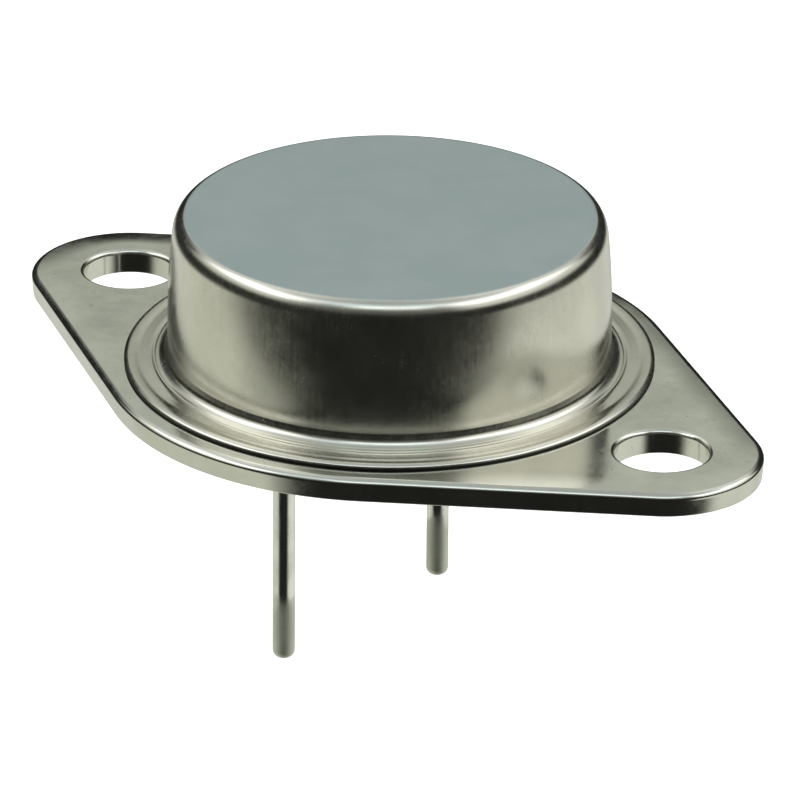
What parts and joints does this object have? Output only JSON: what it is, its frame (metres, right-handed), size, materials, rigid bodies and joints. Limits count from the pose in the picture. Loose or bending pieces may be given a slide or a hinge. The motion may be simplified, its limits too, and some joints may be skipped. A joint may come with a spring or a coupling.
{
  "type": "power transistor",
  "caption": "Metal-can power transistor: round steel cap on a diamond flange with mounting holes, and straight leads out of the underside through glass seals.",
  "frame": {"origin": "midway between the mounting holes, on the underside of the flange", "axes": "+X through the mounting holes, away from the leads; +Z from the flange to the cap; the leads point to -Z"},
  "size_m": [0.039, 0.0252, 0.0199],
  "materials": {
    "header_plating": "glossy nickel plating on steel",
    "cap_plating": "satin nickel plating on drawn steel",
    "lead_metal": "satin nickel plating",
    "seal_glass": "dark fused glass",
    "copper": "bare copper",
    "braze": "dull silver braze",
    "solder": "dull solder",
    "silicon": "polished silicon with aluminium contacts",
    "wire_aluminium": "bare aluminium"
  },
  "bodies": {
    "root": {"header": "header_plating", "cap": "cap_plating", "base_lead": "lead_metal", "emitter_lead": "lead_metal", "base_seal": "seal_glass", "emitter_seal": "seal_glass", "heat_spreader": "copper", "spreader_braze": "braze", "die_solder": "solder", "die": "silicon", "base_wire": "wire_aluminium", "emitter_wire_1": "wire_aluminium", "emitter_wire_2": "wire_aluminium"}
  },
  "joints": []
}
